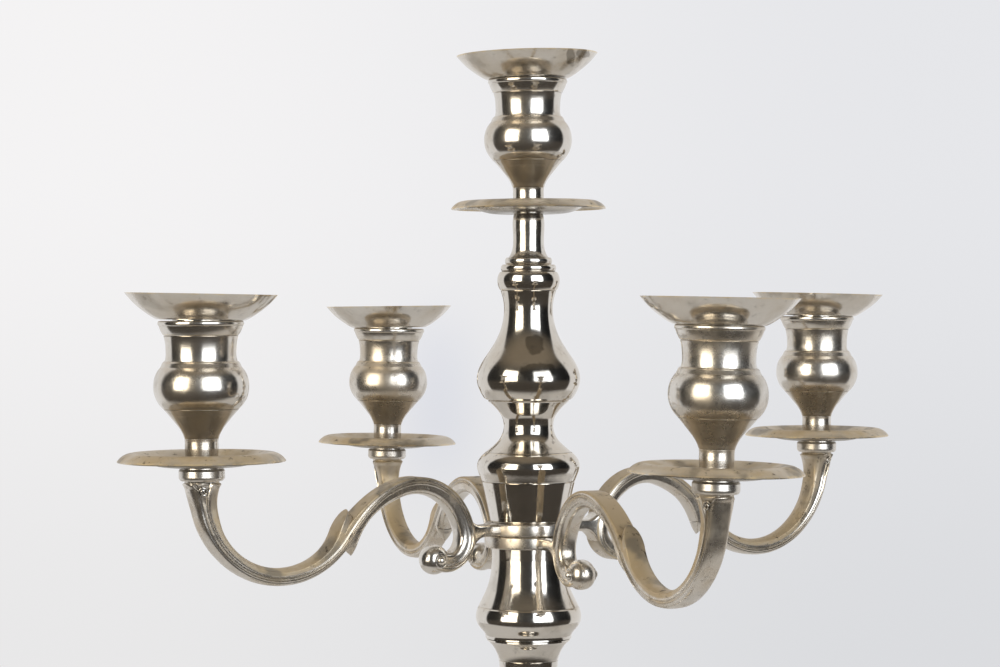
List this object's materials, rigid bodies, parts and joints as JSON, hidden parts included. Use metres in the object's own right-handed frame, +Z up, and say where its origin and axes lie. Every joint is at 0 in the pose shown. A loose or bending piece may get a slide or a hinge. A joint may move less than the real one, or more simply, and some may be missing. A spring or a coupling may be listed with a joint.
{
  "type": "candelabrum",
  "caption": "Tall turned-column candelabrum with swivelling pairs of scrolled arms; each head has a drip pan, candle cup and lift-out wax dish.",
  "frame": {"origin": "centre of the felt pad's underside, on the column's axis", "axes": "+Z up along the column, +Y away from the viewer of the front, +X to that viewer's right"},
  "size_m": [0.3862, 0.4257, 0.7813],
  "materials": {
    "column_nickel": "cast aluminium, nickel plated and polished, faint turning marks",
    "arm_nickel": "cast aluminium, nickel plated, worn and browned",
    "cup_nickel": "turned aluminium, nickel plated, satin to polished",
    "dish_nickel": "spun aluminium, nickel plated, light patina",
    "pan_nickel": "spun aluminium, nickel plated, dull tan patina",
    "steel": "zinc-plated steel",
    "felt": "dark green felt"
  },
  "bodies": {
    "stand": {"felt_pad": "felt", "base": "column_nickel", "base_washer": "steel", "base_nut": "steel", "tie_rod": "steel", "lower_shaft": "column_nickel", "knop": "column_nickel", "upper_shaft": "column_nickel", "lower_spool": "column_nickel", "upper_spool": "column_nickel", "pear_baluster": "column_nickel", "top_stem": "column_nickel", "stud_top": "steel", "drip_pan_top": "pan_nickel", "candle_cup_top": "cup_nickel"},
    "upper_arm_pair": {"upper_arms": "arm_nickel", "collar_left_front": "arm_nickel", "stud_left_front": "steel", "drip_pan_left_front": "pan_nickel", "candle_cup_left_front": "cup_nickel", "collar_right_back": "arm_nickel", "stud_right_back": "steel", "drip_pan_right_back": "pan_nickel", "candle_cup_right_back": "cup_nickel"},
    "lower_arm_pair": {"lower_arms": "arm_nickel", "collar_right_front": "arm_nickel", "stud_right_front": "steel", "drip_pan_right_front": "pan_nickel", "candle_cup_right_front": "cup_nickel", "collar_left_back": "arm_nickel", "stud_left_back": "steel", "drip_pan_left_back": "pan_nickel", "candle_cup_left_back": "cup_nickel"},
    "loose_dish_top": {"wax_dish_top": "dish_nickel"},
    "loose_dish_left_front": {"wax_dish_left_front": "dish_nickel"},
    "loose_dish_right_back": {"wax_dish_right_back": "dish_nickel"},
    "loose_dish_right_front": {"wax_dish_right_front": "dish_nickel"},
    "loose_dish_left_back": {"wax_dish_left_back": "dish_nickel"}
  },
  "joints": [
    {"name": "upper_arm_swivel", "type": "hinge", "parent": "stand", "child": "upper_arm_pair", "pos_m": [0, 0, 0.5439], "axis": [0, 0, 1], "range_deg": [-25, 25]},
    {"name": "lower_arm_swivel", "type": "hinge", "parent": "stand", "child": "lower_arm_pair", "pos_m": [0, 0, 0.5376], "axis": [0, 0, 1], "range_deg": [-25, 25]},
    {"name": "wax_dish_lift_top", "type": "slide", "parent": "stand", "child": "loose_dish_top", "axis": [-0.007, 0, 1], "range_m": [0, 0.03]},
    {"name": "wax_dish_lift_left_front", "type": "slide", "parent": "upper_arm_pair", "child": "loose_dish_left_front", "axis": [-0.0052, 0, 1], "range_m": [0, 0.03]},
    {"name": "wax_dish_lift_right_back", "type": "slide", "parent": "upper_arm_pair", "child": "loose_dish_right_back", "axis": [0.0017, 0, 1], "range_m": [0, 0.03]},
    {"name": "wax_dish_lift_right_front", "type": "slide", "parent": "lower_arm_pair", "child": "loose_dish_right_front", "axis": [0.0227, 0, 0.9997], "range_m": [0, 0.03]},
    {"name": "wax_dish_lift_left_back", "type": "slide", "parent": "lower_arm_pair", "child": "loose_dish_left_back", "axis": [0.0175, 0, 0.9998], "range_m": [0, 0.03]}
  ]
}
